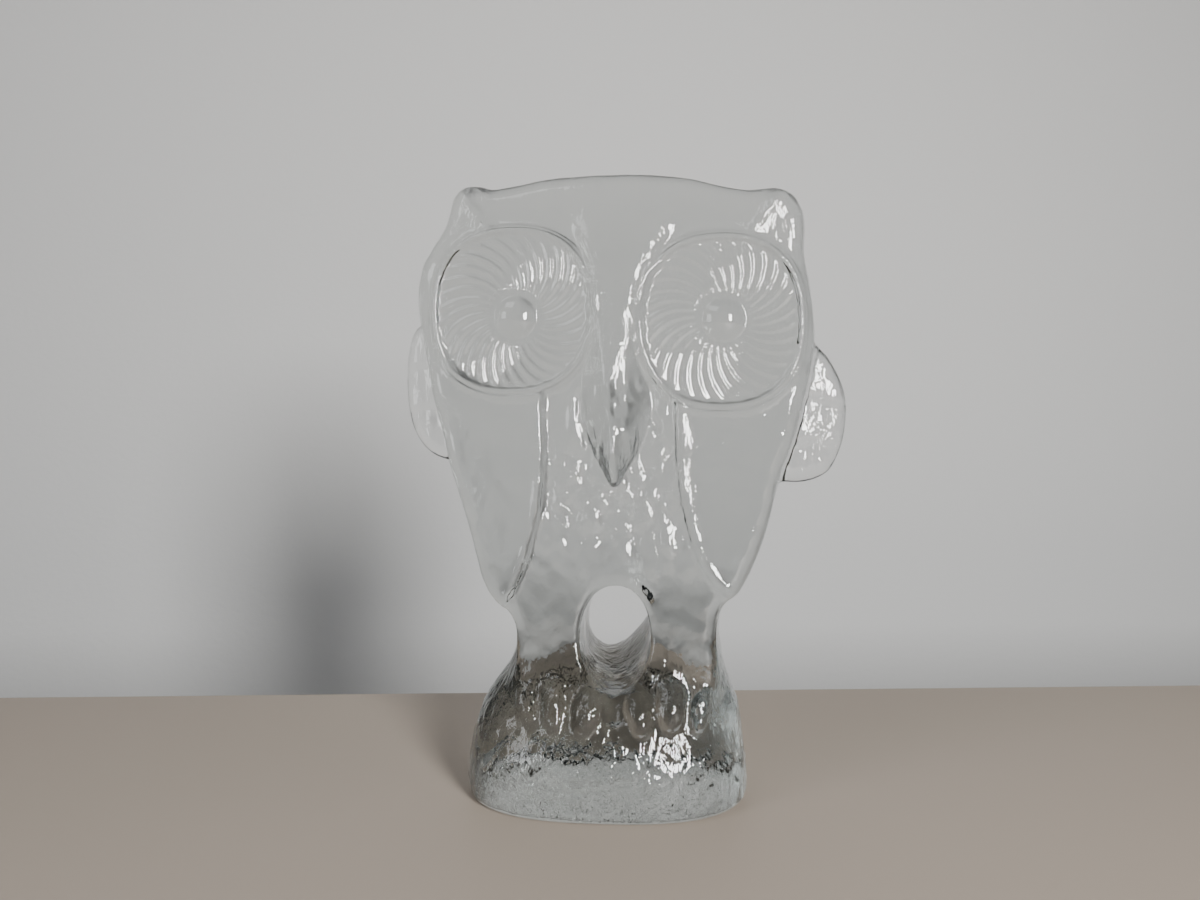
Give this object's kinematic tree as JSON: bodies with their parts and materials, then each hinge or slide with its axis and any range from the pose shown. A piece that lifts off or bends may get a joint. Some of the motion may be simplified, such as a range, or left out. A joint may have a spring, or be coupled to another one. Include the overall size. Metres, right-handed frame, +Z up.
{
  "type": "owl figurine",
  "caption": "Clear pressed-glass owl with large ribbed eye discs, beak ridge, leaf-shaped wings and an opening between the legs, on a rounded plinth.",
  "frame": {"origin": "centre of the underside, on the surface it stands on", "axes": "+X towards the viewer's right when the owl faces the viewer, +Y towards the owl's back, +Z up through the head"},
  "size_m": [0.1262, 0.056, 0.17],
  "materials": {
    "clear_glass": "glossy clear glass with faint mould waviness"
  },
  "bodies": {
    "root": {"plinth": "clear_glass", "left_foot": "clear_glass", "right_foot": "clear_glass", "left_toes": "clear_glass", "right_toes": "clear_glass", "left_leg": "clear_glass", "right_leg": "clear_glass", "breast": "clear_glass", "breast_feathers": "clear_glass", "head": "clear_glass", "left_ear_tuft": "clear_glass", "right_ear_tuft": "clear_glass", "beak": "clear_glass", "left_eye_disc": "clear_glass", "right_eye_disc": "clear_glass", "left_eye_ribs": "clear_glass", "right_eye_ribs": "clear_glass", "left_pupil": "clear_glass", "right_pupil": "clear_glass", "left_front_wing": "clear_glass", "right_front_wing": "clear_glass", "left_side_wing": "clear_glass", "right_side_wing": "clear_glass"}
  },
  "joints": []
}
